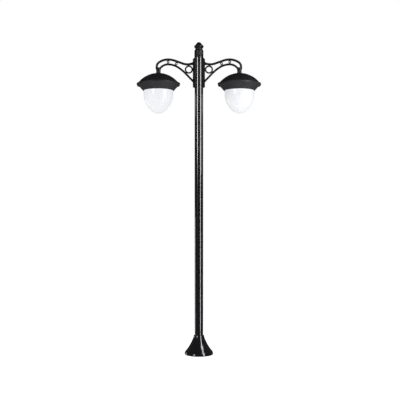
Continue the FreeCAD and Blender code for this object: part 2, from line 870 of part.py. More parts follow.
def make_door():
    """The flush door in the back of the pole, its screws, and the tabs that they screw into."""
    gap = "door_gap"
    door = pole_shell(POLE_R, f"{POLE_R} - door_wall", f"{DOOR_LOW} + {gap}", f"{DOOR_HIGH} - {gap}")
    window = block(
        f"-door_width / 2 + {gap}",
        f"door_width / 2 - {gap}",
        "0",
        "pole_diameter",
        DOOR_LOW,
        DOOR_HIGH,
    )
    leaf = shared(door, window)
    tabs = []
    screws = []
    head_y = f"{POLE_R} - door_screw_recess"
    sink_y = f"{head_y} - door_screw_sink"
    tab_outer = f"{POLE_R} - pole_wall - weld_gap"
    for height, edge in zip(DOOR_SCREW_HEIGHTS, (DOOR_LOW, DOOR_HIGH)):
        low = f"{edge} - tab_height / 2"
        high = f"{edge} + tab_height / 2"
        curve = pole_shell(tab_outer, f"{tab_outer} - tab_wall", low, high)
        strip = block("-tab_width / 2", "tab_width / 2", "0", "pole_diameter", low, high)
        thread = rod("door_screw / 2 + tab_thread_gap", "pole_diameter", "y", z=height)
        tabs.append(cut(shared(curve, strip), thread))
        hole = rod("door_screw / 2 + screw_gap", "pole_diameter", "y", z=height)
        sink = rod(
            "door_screw / 2 + screw_gap",
            "door_screw_sink",
            "y",
            y=sink_y,
            z=height,
            top_radius="door_screw_head / 2 + screw_gap",
        )
        mouth = rod("door_screw_head / 2 + screw_gap", "door_wall", "y", y=head_y, z=height)
        leaf = cut(leaf, hole, sink, mouth)
        head = rod(
            "door_screw / 2",
            "door_screw_sink",
            "y",
            y=sink_y,
            z=height,
            top_radius="door_screw_head / 2",
        )
        shank_y = f"{head_y} - door_screw_length"
        shank = rod("door_screw / 2", "door_screw_length", "y", y=shank_y, z=height)
        key = rod("door_screw / 4", "key_depth", "y", y=f"{head_y} - door_screw_key", z=height)
        screws.append(cut(joined(shank, head), key))
    keep(leaf, "service_door")
    group("door_tabs", *tabs)
    group("door_screws", *screws)


def make_equipment():
    """The carrier board behind the door, with the terminals, the fuse and the earth stud."""
    inner = f"({POLE_R} - pole_wall)"
    half = f"sqrt({inner} * {inner} - board_depth * board_depth) - board_gap"
    front = "-board_depth + board_wall"
    low = f"{DOOR_LOW} + board_margin"
    high = f"{DOOR_HIGH} - board_margin"
    keep(block(f"-({half})", half, "-board_depth", front, low, high), "carrier_board")
    terminal_top = f"{DOOR_HIGH} - board_spacing"
    terminal_low = f"{terminal_top} - terminal_height"
    depth = f"{front} + terminal_depth"
    half = "terminal_width / 2"
    terminals = block(f"-{half}", half, front, depth, terminal_low, terminal_top)
    notches = []
    for place in (-3, -1, 1, 3):
        x = f"terminal_width * {place} / 8"
        y = f"{depth} - terminal_notch_depth"
        z = f"{terminal_low} + terminal_notch_rise"
        notches.append(rod("terminal_notch", "terminal_notch_depth + 1", "y", x=x, y=y, z=z))
    keep(cut(terminals, joined(*notches)), "terminal_block")
    fuse_top = f"{terminal_low} - board_spacing / 2"
    fuse_low = f"{fuse_top} - fuse_height"
    body = block("-fuse_width / 2", "fuse_width / 2", front, f"{front} + fuse_depth", fuse_low, fuse_top)
    grip = block(
        "-fuse_width / 4",
        "fuse_width / 4",
        f"{front} + fuse_depth - 1",
        f"{front} + fuse_depth + fuse_grip",
        f"{fuse_low} + fuse_height / 3",
        f"{fuse_low} + fuse_height * 2 / 3",
    )
    keep(joined(body, grip), "fuse_carrier")
    stud_z = f"{fuse_low} - board_spacing / 2 - earth_stud"
    stud = rod("earth_stud / 2", "earth_stud_length", "y", y=front, z=stud_z)
    nut = rod("earth_stud", "earth_nut_height", "y", y=f"{front} + earth_nut_lift", z=stud_z)
    keep(joined(stud, nut), "earth_stud")


def grub_screws(label, diameter, start, length, level):
    """Three headless socket screws that point at the pole's axis."""
    screws = []
    for third in range(3):
        shank = rod(f"{diameter} / 2", length, "x", x=start, z=level)
        key = rod(f"{diameter} / 4", length, "x", x=f"{start} + ({length}) / 2", z=level)
        screws.append(place_at(cut(shank, key), turn=120 * third))
    group(label, *screws)


def make_base_cover():
    """The cast bell over the base plate; it slides up the pole when its screws are slack."""
    bore = f"{POLE_R} + collar_gap"
    top = "cover_height"
    collar_low = f"({top} - collar_height)"
    shoulder = "cover_foot_radius - cover_foot_draw"
    collar_r = f"{bore} + collar_wall"
    outline = [
        ("cover_foot_radius - cover_wall", "0"),
        ("cover_foot_radius - cover_foot_lip", "0"),
        ("cover_foot_radius", "cover_foot_rise", 1, "cover_foot_curve"),
        (shoulder, "cover_foot_height", -1, "cover_curve"),
        (f"{collar_r} + collar_step", collar_low),
        (collar_r, f"{collar_low} + collar_blend"),
        (collar_r, f"{top} - collar_bevel"),
        (f"{collar_r} - collar_bevel", top),
        (bore, top),
        (bore, f"{collar_low} - collar_depth", 1, "cover_curve + cover_wall"),
        (f"{shoulder} - cover_wall * 1.2", "cover_foot_height - 1"),
    ]
    body = spun_body("base_cover", outline)
    hole = extrude(
        body,
        "YZ",
        "collar_wall * 4",
        circle=("0", f"{top} - collar_height / 2", "cover_screw / 2"),
        offset=f"{bore} + collar_wall",
        kind="Pocket",
    )
    repeat_round(body, hole, 3, removes=True)
    start = f"{POLE_R} + collar_gap / 2"
    grub_screws("cover_screws", "cover_screw", start, "collar_wall - 0.5", f"{top} - collar_height / 2")


def make_finial():
    """The cast finial: a skirt over the pole's end, a neck, a round bulb and a button."""
    top = "post_height"
    bore = f"{POLE_R} + finial_gap"
    outer = f"{bore} + finial_wall"
    outline = [
        ("0", f"{POLE_TOP} + finial_stop"),
        (bore, f"{POLE_TOP} + finial_stop"),
        (bore, f"{top} - finial_skirt"),
        (outer, f"{top} - finial_skirt"),
        (outer, f"{top} - finial_shoulder", 1, "finial_shoulder_curve"),
        ("finial_neck_radius", f"{top} - finial_neck - finial_neck_flat"),
        ("finial_neck_radius", f"{top} - finial_neck + finial_neck_flat"),
        (
            "finial_bulb_radius - finial_bulb_hip",
            f"{top} - finial_bulb - finial_bulb_under",
            1,
            "finial_bulb_curve",
        ),
        ("finial_bulb_radius - finial_bulb_brow", f"{top} - finial_bulb + finial_bulb_over"),
        (
            "finial_button_radius + finial_button_flare",
            f"{top} - finial_button - finial_button_flare",
        ),
        ("finial_button_radius", f"{top} - finial_button", 1, "finial_button_curve"),
        ("finial_button_flat", top),
        ("0", top),
    ]
    body = spun_body("finial", outline)
    level = f"{top} - finial_skirt + finial_screw_rise"
    hole = extrude(
        body,
        "YZ",
        "pole_diameter / 2",
        circle=("0", level, "finial_screw / 2"),
        offset=outer,
        kind="Pocket",
    )
    repeat_round(body, hole, 3, removes=True)
    grub_screws("finial_screws", "finial_screw", f"{POLE_R} + weld_gap", "finial_wall + finial_gap", level)


# ---- Heads ----

# The width of each lug, over both its ears.
LUG_WIDTH = "(knuckle_width + 2 * knuckle_gap + 2 * ear_wall)"
# The lower frame's inner radius under its lip, and its ledge's outer radius, where its cone starts.
LIP_R = "(dome_radius - frame_lip / 3 - frame_wall)"
CONE_SLOPE = "(dome_radius - throat_radius - throat_wall) / (frame_height - frame_lip)"
LEDGE_R = f"(throat_radius + throat_wall + ledge_height * {CONE_SLOPE} - frame_wall)"
CLIP_SCREW_X = f"({LEDGE_R} - clip_screw_inset)"
SEAL_TOP = f"({LEDGE} + seal_height)"
FLANGE_TOP = f"({SEAL_TOP} + flange_height)"


def make_canopy(side):
    """The domed top cover, with a pair of ears at its outer and inner side."""
    wall = "dome_wall"
    band = f"{RIM} + rim_band"
    flange = "dome_radius - rim_flange"
    outline = [
        ("stem_diameter / 2", APEX),
        ("dome_flat", APEX, -1, "axis"),
        ("dome_radius", band),
        ("dome_radius", RIM),
        (flange, RIM),
        (flange, f"{band} + {wall}", 1, "axis"),
        ("dome_flat", f"{APEX} - {wall}"),
        ("stem_diameter / 2", f"{APEX} - {wall}"),
    ]
    label = f"canopy_{side}"
    body = spun_body(label, outline)
    slot = "knuckle_width + 2 * knuckle_gap"
    for sign in LUG_SIDES:
        ear = [
            (f"{sign} * ({flange} + rim_flange / 3)", RIM),
            (f"{sign} * {PIN_X}", RIM, sign, "ear_radius"),
            (f"{sign} * ({PIN_X} + ear_radius)", PIN_Z, sign, "ear_radius"),
            (f"{sign} * {PIN_X}", f"{PIN_Z} + ear_radius"),
            (f"{sign} * ({flange} - rim_flange / 2)", f"{RIM} + lug_rise"),
        ]
        extrude(body, "XZ", LUG_WIDTH, outline=ear)
    for sign in LUG_SIDES:
        gap = box_outline(
            f"{sign} * ({PIN_X} - ear_radius - knuckle_room)",
            f"{sign} * ({PIN_X} + 2 * ear_radius)",
            f"{RIM} - 1",
            f"{PIN_Z} + 3 * ear_radius",
        )
        extrude(body, "XZ", slot, outline=gap, kind="Pocket")
        eye = (f"{sign} * {PIN_X}", PIN_Z, "pin_diameter / 2")
        extrude(body, "XZ", f"{LUG_WIDTH} + 4", circle=eye, kind="Pocket")
    at_head(body, side)


def make_frame(side):
    """The lower frame: a conical ring that closes the canopy and holds the diffuser."""
    lip = f"{FRAME_TOP} - frame_lip"
    outline = [
        ("dome_radius", FRAME_TOP),
        ("dome_radius - rim_flange", FRAME_TOP),
        ("dome_radius - rim_flange", f"{FRAME_TOP} - frame_lip + 2"),
        (LIP_R, f"{lip} - 2"),
        (LEDGE_R, LEDGE),
        ("throat_radius", LEDGE),
        ("throat_radius", THROAT),
        ("throat_radius + throat_wall", THROAT),
        ("dome_radius", lip),
    ]
    body = spun_body(f"lower_frame_{side}", outline)
    tip = f"({PIN_X} + ear_radius - 1)"
    for sign in LUG_SIDES:
        lug = [
            (f"{sign} * (dome_radius - lug_inset)", f"{FRAME_TOP} - lug_drop", sign, "lug_curve"),
            (f"{sign} * {tip}", FRAME_TOP),
            (f"{sign} * ({LIP_R} + 1)", FRAME_TOP),
            (f"{sign} * ({LIP_R} + 1)", f"{lip} - 2"),
        ]
        extrude(body, "XZ", LUG_WIDTH, outline=lug)
    eye = "(ear_radius - knuckle_trim)"
    knuckle = [
        (f"{PIN_X} - {eye}", PIN_Z),
        (f"{PIN_X} - {eye}", f"{FRAME_TOP} - 1"),
        (f"{PIN_X} + {eye}", f"{FRAME_TOP} - 1"),
        (f"{PIN_X} + {eye}", PIN_Z, 1, eye),
        (PIN_X, f"{PIN_Z} + {eye}", 1, eye),
    ]
    extrude(body, "XZ", "knuckle_width", outline=knuckle)
    extrude(
        body,
        "XZ",
        "knuckle_width + 4",
        circle=(PIN_X, PIN_Z, "pin_diameter / 2 + pin_gap"),
        kind="Pocket",
    )
    clip_hole = extrude(
        body,
        "XY",
        "ledge_height + 4",
        circle=(CLIP_SCREW_X, "0", "clip_screw / 2"),
        offset=f"{LEDGE} + 1",
        kind="Pocket",
    )
    repeat_round(body, clip_hole, 4, removes=True)
    at_head(body, side)


def make_diffuser(side):
    """The opal diffuser: a short neck under its flange, then a bowl of two tangent arcs."""
    wide = "diffuser_radius"
    depth = "diffuser_depth"
    tip = "diffuser_tip_curve"
    wall = "diffuser_wall"
    middle = f"({THROAT} - diffuser_widest)"
    rise = f"({depth} - {tip})"
    side_curve = f"(({wide} * {wide} + {rise} * {rise} - {tip} * {tip}) / (2 * ({wide} - {tip})))"
    share = f"(1 / ({side_curve} - {tip}))"
    meet_r = f"({tip} * ({side_curve} - {wide}) * {share})"
    meet_z = f"({middle} - {rise} - {tip} * {rise} * {share})"
    inner_tip = f"({tip} - {wall})"
    inner_r = f"({inner_tip} * ({side_curve} - {wide}) * {share})"
    inner_z = f"({middle} - {rise} - {inner_tip} * {rise} * {share})"
    flange_r = "throat_radius + flange_width"
    outline = [
        ("0", f"{middle} - {depth}", 1, tip),
        (meet_r, meet_z, 1, side_curve),
        (wide, middle),
        ("diffuser_neck", f"{middle} + diffuser_step"),
        ("diffuser_neck", SEAL_TOP),
        (flange_r, SEAL_TOP),
        (flange_r, FLANGE_TOP),
        (f"diffuser_neck - {wall}", FLANGE_TOP),
        (f"diffuser_neck - {wall}", f"{middle} + diffuser_step"),
        (f"{wide} - {wall}", middle, -1, f"{side_curve} - {wall}"),
        (inner_r, inner_z, -1, inner_tip),
        ("0", f"{middle} - {depth} + {wall}"),
    ]
    at_head(spun_body(f"diffuser_{side}", outline), side)
    seal = [
        ("throat_radius + flange_gap", LEDGE),
        (flange_r, LEDGE),
        (flange_r, SEAL_TOP),
        ("throat_radius + flange_gap", SEAL_TOP),
    ]
    at_head(spun_body(f"diffuser_seal_{side}", seal), side)

    body = keep(new_body(f"diffuser_clips_{side}"), f"diffuser_clips_{side}")
    low = f"{FLANGE_TOP} + clip_height / 2"
    outer = f"{CLIP_SCREW_X} + clip_edge"
    inner = f"{outer} - clip_length"
    plan = box_outline(inner, outer, "-clip_width / 2", "clip_width / 2")
    clip = extrude(body, "XY", "clip_height", outline=plan, offset=low)
    repeat_round(body, clip, 4)
    hole = extrude(
        body,
        "XY",
        "clip_height + 4",
        circle=(CLIP_SCREW_X, "0", "clip_screw / 2"),
        offset=low,
        kind="Pocket",
    )
    repeat_round(body, hole, 4, removes=True)
    at_head(body, side)

    screws = []
    for quarter in range(4):
        top = f"{FLANGE_TOP} + clip_height"
        shank_low = f"{LEDGE} - ledge_height / 2"
        shank = rod("clip_screw / 2", f"{top} - ({shank_low})", x=CLIP_SCREW_X, z=shank_low)
        head = rod("clip_screw_head / 2", "clip_screw_rise", x=CLIP_SCREW_X, z=top)
        slot = block(
            f"{CLIP_SCREW_X} - clip_screw",
            f"{CLIP_SCREW_X} + clip_screw",
            "-clip_screw_slot / 2",
            "clip_screw_slot / 2",
            f"{top} + clip_screw_rise / 2",
            f"{top} + clip_screw_rise + 1",
        )
        screws.append(place_at(cut(joined(shank, head), slot), turn=90 * quarter))
    at_head(group(f"clip_screws_{side}", *screws), side)


def make_catch(side):
    """The spring clip that stands on the frame's shelf and grips the catch pin from below."""
    leg = "catch_leg"
    half = "(pin_diameter / 2 + catch_gap)"
    clip = [
        (f"-{PIN_X} - {half} - {leg}", FRAME_TOP),
        (f"-{PIN_X} + {half} + {leg}", FRAME_TOP),
        (f"-{PIN_X} + {half} + {leg}", f"{PIN_Z} + catch_rise"),
        (f"-{PIN_X} + {half}", f"{PIN_Z} + catch_rise"),
        (f"-{PIN_X} + {half}", f"{FRAME_TOP} + {leg}"),
        (f"-{PIN_X} - {half}", f"{FRAME_TOP} + {leg}"),
        (f"-{PIN_X} - {half}", f"{PIN_Z} + catch_rise"),
        (f"-{PIN_X} - {half} - {leg}", f"{PIN_Z} + catch_rise"),
    ]
    body = keep(new_body(f"catch_clip_{side}"), f"catch_clip_{side}")
    extrude(body, "XZ", "knuckle_width - 1", outline=clip)
    at_head(body, side)


def make_pins(side):
    """The hinge pin outside and the catch pin inside, each with a low head at both ends."""
    half = f"({LUG_WIDTH} / 2)"
    head_r = "pin_diameter / 2 + pin_head_rim"
    for name, sign in zip(("hinge_pin", "catch_pin"), LUG_SIDES):
        x = f"{sign} * {PIN_X}"
        shank = rod("pin_diameter / 2", f"2 * {half}", "y", x=x, y=f"-{half}", z=PIN_Z)
        far = rod(head_r, "pin_head", "y", x=x, y=half, z=PIN_Z)
        near = rod(head_r, "pin_head", "y", x=x, y=f"-{half} - pin_head", z=PIN_Z)
        at_head(keep(joined(shank, far, near), f"{name}_{side}"), side)


def make_head_fittings(side):
    """What hangs in the canopy: neck collar, stem, nut, gasket, lampholder and lamp."""
    stem_r = "stem_diameter / 2"
    stem_low = f"({APEX} - stem_below)"
    pieces = {}
    pieces["neck_collar"] = [
        (stem_r, APEX),
        ("neck_radius - neck_bevel", APEX),
        ("neck_radius", f"{APEX} + 2 * neck_bevel"),
        ("neck_radius", f"{BOSS} - 2 * neck_bevel"),
        ("neck_radius - neck_bevel", BOSS),
        (stem_r, BOSS),
    ]
    pieces["stem"] = [
        ("stem_bore / 2", stem_low),
        (stem_r, stem_low),
        (stem_r, f"{APEX} + stem_above"),
        ("stem_bore / 2", f"{APEX} + stem_above"),
    ]
    gasket_out = "dome_radius - gasket_inset"
    gasket_low = f"{FRAME_TOP} + gasket_gap"
    pieces["canopy_gasket"] = [
        (f"{gasket_out} - gasket_width", gasket_low),
        (gasket_out, gasket_low),
        (gasket_out, RIM),
        (f"{gasket_out} - gasket_width", RIM),
    ]
    holder_low = f"({HOLDER_TOP} - holder_height)"
    pieces["lampholder"] = [
        (stem_r, HOLDER_TOP),
        ("holder_radius * 3 / 4", HOLDER_TOP),
        ("holder_radius", f"{HOLDER_TOP} - holder_shoulder"),
        ("holder_radius", f"{holder_low} + holder_shoulder"),
        ("holder_radius * 11 / 12", holder_low),
        ("holder_bore / 2", holder_low),
        ("holder_bore / 2", f"{HOLDER_TOP} - holder_floor"),
        ("stem_bore / 2", f"{HOLDER_TOP} - holder_floor"),
        ("stem_bore / 2", stem_low),
        (stem_r, stem_low),
    ]
    cap_top = f"({HOLDER_TOP} - holder_floor - lamp_cap_gap)"
    cap_low = f"({cap_top} - lamp_cap_height)"
    pieces["lamp_cap"] = [
        ("0", cap_low),
        ("lamp_cap_radius", cap_low),
        ("lamp_cap_radius", f"{cap_top} - lamp_cap_tip"),
        ("lamp_cap_tip", cap_top),
        ("0", cap_top),
    ]
    lamp_low = f"({cap_low} - lamp_length)"
    pieces["lamp_bulb"] = [
        ("0", lamp_low, 1, "lamp_radius"),
        ("lamp_radius", f"{lamp_low} + lamp_radius"),
        ("lamp_radius", f"{cap_low} - lamp_neck - lamp_swell"),
        ("lamp_cap_radius + 1", f"{cap_low} - lamp_neck"),
        ("lamp_cap_radius", cap_low),
        ("0", cap_low),
    ]
    for name, outline in pieces.items():
        at_head(spun_body(f"{name}_{side}", outline), side)

    body = keep(new_body(f"stem_nut_{side}"), f"stem_nut_{side}")
    corners = []
    for corner in range(6):
        turn = math.radians(60 * corner + 30)
        corners.append((f"locknut_radius * {math.cos(turn)}", f"locknut_radius * {math.sin(turn)}"))
    level = f"{APEX} - dome_wall - locknut_height / 2"
    extrude(body, "XY", "locknut_height", outline=corners, offset=level)
    extrude(body, "XY", "locknut_height + 4", circle=("0", "0", stem_r), offset=level, kind="Pocket")
    at_head(body, side)


make_pole()
make_door()
make_equipment()
make_base_cover()
make_finial()
make_arms()
make_cables()
for head_side in SIDES:
    make_canopy(head_side)
    make_frame(head_side)
    make_diffuser(head_side)
    make_catch(head_side)
    make_pins(head_side)
    make_head_fittings(head_side)
doc.recompute()

for item in doc.Objects:
    if "Invalid" in item.State or "Error" in item.State:
        raise RuntimeError(f"{item.Label} failed: {item.State}")
for label, piece in nodes.items():
    if piece.Shape.isNull() or not piece.Shape.isValid() or not piece.Shape.Solids:
        raise RuntimeError(f"{label} has no valid solid")

os.makedirs("parts", exist_ok=True)
for label, piece in nodes.items():
    piece.Shape.exportStep(f"parts/{label}.step")
print(len(nodes), "nodes")
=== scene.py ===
"""Street lamp post: finishes, fine pieces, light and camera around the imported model."""

import json
import math

import bmesh
import bpy
from mathutils import Matrix, Vector


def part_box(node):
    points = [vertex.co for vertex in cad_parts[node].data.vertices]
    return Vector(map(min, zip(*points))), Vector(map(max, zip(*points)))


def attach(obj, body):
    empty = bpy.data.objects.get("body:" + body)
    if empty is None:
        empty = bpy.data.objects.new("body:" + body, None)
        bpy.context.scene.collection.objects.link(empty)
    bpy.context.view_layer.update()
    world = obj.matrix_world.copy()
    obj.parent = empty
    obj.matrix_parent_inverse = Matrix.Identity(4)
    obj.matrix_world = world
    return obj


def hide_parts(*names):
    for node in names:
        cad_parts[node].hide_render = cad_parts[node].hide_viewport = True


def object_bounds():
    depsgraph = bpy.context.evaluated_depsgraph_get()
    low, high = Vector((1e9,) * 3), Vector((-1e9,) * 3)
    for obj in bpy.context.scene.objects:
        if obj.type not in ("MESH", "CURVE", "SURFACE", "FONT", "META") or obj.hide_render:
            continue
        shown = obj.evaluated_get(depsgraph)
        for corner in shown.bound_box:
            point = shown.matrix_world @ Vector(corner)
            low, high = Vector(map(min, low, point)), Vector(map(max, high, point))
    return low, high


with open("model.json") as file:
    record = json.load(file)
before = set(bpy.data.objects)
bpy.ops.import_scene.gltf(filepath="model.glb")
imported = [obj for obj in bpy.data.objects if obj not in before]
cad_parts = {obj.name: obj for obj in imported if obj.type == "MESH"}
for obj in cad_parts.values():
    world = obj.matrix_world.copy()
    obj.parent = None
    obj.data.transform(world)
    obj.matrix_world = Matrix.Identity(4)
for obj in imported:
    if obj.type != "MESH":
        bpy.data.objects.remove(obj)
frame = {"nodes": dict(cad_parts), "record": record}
cad_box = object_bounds()


# Materials. Noise scales are per metre and bump depths are in metres.

PATTERN_RANGE = (0.3, 0.7)  # most of a noise pattern lies between these values
EVEN = (1, 1, 1)


def new_material(name):
    """Returns a material, its node tree and its shader."""
    material = bpy.data.materials.new(name)
    material.use_nodes = True
    tree = material.node_tree
    shader = tree.nodes["Principled BSDF"]
    return material, tree, shader


def place(tree, stretch=EVEN):
    """Returns the socket of a point's place on the object, in metres, scaled along each axis."""
    coordinates = tree.nodes.new("ShaderNodeTexCoord")
    mapping = tree.nodes.new("ShaderNodeMapping")
    mapping.inputs["Scale"].default_value = stretch
    tree.links.new(coordinates.outputs["Object"], mapping.inputs["Vector"])
    return mapping.outputs["Vector"]


def noise(tree, scale, detail=3.0, stretch=EVEN):
    """Returns the socket of a noise pattern."""
    pattern = tree.nodes.new("ShaderNodeTexNoise")
    pattern.inputs["Scale"].default_value = scale
    pattern.inputs["Detail"].default_value = detail
    tree.links.new(place(tree, stretch), pattern.inputs["Vector"])
    return pattern.outputs["Fac"]


def cells(tree, scale):
    """Returns the socket of a value that changes from one crystal to the next."""
    pattern = tree.nodes.new("ShaderNodeTexVoronoi")
    pattern.inputs["Scale"].default_value = scale
    tree.links.new(place(tree), pattern.inputs["Vector"])
    channel = tree.nodes.new("ShaderNodeSeparateColor")
    tree.links.new(pattern.outputs["Color"], channel.inputs["Color"])
    return channel.outputs["Red"]


def vary_colour(tree, shader, pattern, dark, light):
    """Runs the base colour from dark to light over the pattern's range."""
    ramp = tree.nodes.new("ShaderNodeValToRGB")
    for element, position, colour in zip(ramp.color_ramp.elements, PATTERN_RANGE, (dark, light)):
        element.position = position
        element.color = (*colour, 1)
    tree.links.new(pattern, ramp.inputs["Fac"])
    tree.links.new(ramp.outputs["Color"], shader.inputs["Base Color"])


def vary_roughness(tree, shader, pattern, smooth, rough):
    """Runs the roughness from smooth to rough over the pattern's range."""
    spread = tree.nodes.new("ShaderNodeMapRange")
    spread.inputs["From Min"].default_value = PATTERN_RANGE[0]
    spread.inputs["From Max"].default_value = PATTERN_RANGE[1]
    spread.inputs["To Min"].default_value = smooth
    spread.inputs["To Max"].default_value = rough
    tree.links.new(pattern, spread.inputs["Value"])
    tree.links.new(spread.outputs["Result"], shader.inputs["Roughness"])


def emboss(tree, shader, layers):
    """Adds bumps to the shader, one for each (pattern, depth)."""
    normal = None
    for pattern, depth in layers:
        bump = tree.nodes.new("ShaderNodeBump")
        bump.inputs["Distance"].default_value = depth
        tree.links.new(pattern, bump.inputs["Height"])
        if normal is not None:
            tree.links.new(normal, bump.inputs["Normal"])
        normal = bump.outputs["Normal"]
    tree.links.new(normal, shader.inputs["Normal"])


def coat(name, dark, light, smooth, rough, grain=0.0, lacquer=0.0):
    """A stoved powder coat with an orange peel, over a cast skin of the given grain.

    lacquer, from 0 to 1, is the weight of a clear coat on top.
    """
    peel_scale, peel_depth = 420, 0.000006
    grain_scale = 130
    specular, lacquer_specular = 0.5, 0.3
    material, tree, shader = new_material(name)
    shader.inputs["Coat Weight"].default_value = lacquer
    shader.inputs["Coat Roughness"].default_value = 0.1
    shader.inputs["Specular IOR Level"].default_value = specular + lacquer_specular * lacquer
    vary_colour(tree, shader, noise(tree, scale=9), dark, light)
    vary_roughness(tree, shader, noise(tree, scale=30, detail=5), smooth, rough)
    layers = [(noise(tree, peel_scale, detail=2), peel_depth)]
    if grain:
        layers.append((noise(tree, grain_scale, detail=4), grain))
    emboss(tree, shader, layers)
    return material


def metal(name, dark, light, smooth, rough, stretch=EVEN):
    """Bare or plated metal whose marks run across the stretched axes."""
    mark_scale, mark_depth = 60, 0.00001
    material, tree, shader = new_material(name)
    shader.inputs["Metallic"].default_value = 1.0
    marks = noise(tree, mark_scale, detail=4, stretch=stretch)
    vary_colour(tree, shader, marks, dark, light)
    vary_roughness(tree, shader, marks, smooth, rough)
    emboss(tree, shader, [(marks, mark_depth)])
    return material


def moulded(name, dark, light, smooth, rough, grain=0.00004, scale=300):
    """Moulded plastic, rubber or ceramic with a fine skin."""
    material, tree, shader = new_material(name)
    vary_colour(tree, shader, noise(tree, scale=25), dark, light)
    vary_roughness(tree, shader, noise(tree, scale=60), smooth, rough)
    emboss(tree, shader, [(noise(tree, scale, detail=2), grain)])
    return material


def galvanised(name):
    """Hot-dip galvanised steel with its spangle."""
    crystal_scale = 90
    skin_scale, skin_depth = 160, 0.00005
    material, tree, shader = new_material(name)
    shader.inputs["Metallic"].default_value = 1.0
    crystals = cells(tree, crystal_scale)
    vary_colour(tree, shader, crystals, (0.36, 0.38, 0.40), (0.58, 0.60, 0.62))
    vary_roughness(tree, shader, crystals, 0.38, 0.6)
    emboss(tree, shader, [(noise(tree, skin_scale, detail=3), skin_depth)])
    return material


def opal(name):
    """Opal acrylic with a glossy skin and faint flow marks.

    A faint emission is painted light: an even glow that stands in for the light the milky wall
    scatters, though no lamp inside is lit.
    """
    flow_scale, flow_depth = 14, 0.0003
    flow_stretch = (1, 1, 0.4)
    material, tree, shader = new_material(name)
    clouds = noise(tree, scale=7, detail=2)
    vary_colour(tree, shader, clouds, (0.30, 0.303, 0.314), (0.345, 0.349, 0.36))
    vary_roughness(tree, shader, noise(tree, scale=18, detail=3), 0.16, 0.24)
    flow = noise(tree, flow_scale, detail=0, stretch=flow_stretch)
    emboss(tree, shader, [(flow, flow_depth)])
    shader.inputs["IOR"].default_value = 1.49
    # Painted glow: the wall gives off light of its own, standing in for the light that it scatters.
    shader.inputs["Emission Color"].default_value = (0.97, 0.98, 1, 1)
    shader.inputs["Emission Strength"].default_value = 0.5
    return material


def frosted_glass(name):
    """The lamp's inner-frosted bulb."""
    frost_scale, frost_depth = 200, 0.00002
    material, tree, shader = new_material(name)
    clouds = noise(tree, scale=30, detail=2)
    vary_colour(tree, shader, clouds, (0.82, 0.82, 0.80), (0.90, 0.90, 0.88))
    vary_roughness(tree, shader, noise(tree, scale=80, detail=2), 0.22, 0.3)
    emboss(tree, shader, [(noise(tree, frost_scale, detail=2), frost_depth)])
    shader.inputs["Transmission Weight"].default_value = 0.25
    shader.inputs["IOR"].default_value = 1.5
    return material


# Each row: the kind of finish, its dark and light colour, the smooth and rough end of its
# roughness, and what else its kind takes. A kind with its own colours takes nothing.
recipes = {
    "pole_coat": (coat, (0.002, 0.002, 0.003), (0.004, 0.004, 0.0055), 0.12, 0.18, 0.0, 1.0),
    "cast_coat": (coat, (0.003, 0.003, 0.0035), (0.006, 0.006, 0.0065), 0.34, 0.46, 0.00003),
    "canopy_coat": (coat, (0.0065, 0.0063, 0.008), (0.010, 0.0097, 0.012), 0.52, 0.62),
    "frame_coat": (coat, (0.013, 0.0127, 0.015), (0.019, 0.0185, 0.0215), 0.6, 0.7),
    "galvanised_steel": (galvanised,),
    "stainless": (metal, (0.50, 0.50, 0.50), (0.66, 0.66, 0.66), 0.2, 0.32, (1, 1, 12)),
    "stem_steel": (metal, (0.48, 0.49, 0.50), (0.62, 0.63, 0.64), 0.3, 0.42, (1, 1, 8)),
    "brass_fitting": (metal, (0.56, 0.42, 0.18), (0.72, 0.56, 0.26), 0.24, 0.36),
    "board": (moulded, (0.16, 0.09, 0.045), (0.24, 0.14, 0.07), 0.5, 0.62, 0.00005, 500),
    "terminal_plastic": (moulded, (0.55, 0.56, 0.56), (0.63, 0.64, 0.64), 0.4, 0.5),
    "fuse_plastic": (moulded, (0.018, 0.018, 0.02), (0.03, 0.03, 0.033), 0.38, 0.46),
    "black_rubber": (moulded, (0.012, 0.012, 0.012), (0.022, 0.022, 0.022), 0.68, 0.8),
    "seal_rubber": (moulded, (0.03, 0.03, 0.03), (0.045, 0.045, 0.045), 0.66, 0.78),
    "cable_jacket": (moulded, (0.05, 0.05, 0.052), (0.075, 0.075, 0.078), 0.45, 0.55),
    "opal_diffuser": (opal,),
    "lamp_glass": (frosted_glass,),
    "lamp_cap_metal": (metal, (0.60, 0.58, 0.54), (0.74, 0.72, 0.68), 0.22, 0.34, (1, 1, 10)),
    "holder_ceramic": (moulded, (0.68, 0.66, 0.61), (0.76, 0.74, 0.69), 0.26, 0.36),
}
finishes = {name: kind(name, *settings) for name, (kind, *settings) in recipes.items()}

for part in frame["record"]["subparts"]:
    for material_slot in frame["nodes"][part["node"]].material_slots:
        material_slot.material = finishes[part["material_slot"]]


# Fine pieces.

MM = 1000  # millimetres in a metre
SHARP_ANGLE = math.radians(35)
MERGE_DISTANCE = 1e-6
ALONG_X = Matrix.Rotation(math.radians(90), 4, "Y")  # lays a rod made upright along X


def finish_mesh(mesh):
    """Shades a mesh smooth, up to its sharp edges."""
    for polygon in mesh.polygons:
        polygon.use_smooth = True
    mesh.set_sharp_from_angle(angle=SHARP_ANGLE)


def link_mesh(name, bm):
    """Makes an object of a finished bmesh."""
    mesh = bpy.data.meshes.new(name)
    bm.to_mesh(mesh)
    bm.free()
    holder = bpy.data.objects.new(name, mesh)
    bpy.context.scene.collection.objects.link(holder)
    return holder


def add_piece(name, bm, slot, body):
    """Makes a piece of a finished bmesh, on a body and with a slot's finish."""
    piece = link_mesh(name, bm)
    finish_mesh(piece.data)
    piece.data.materials.append(finishes[slot])
    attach(piece, body)
    return piece


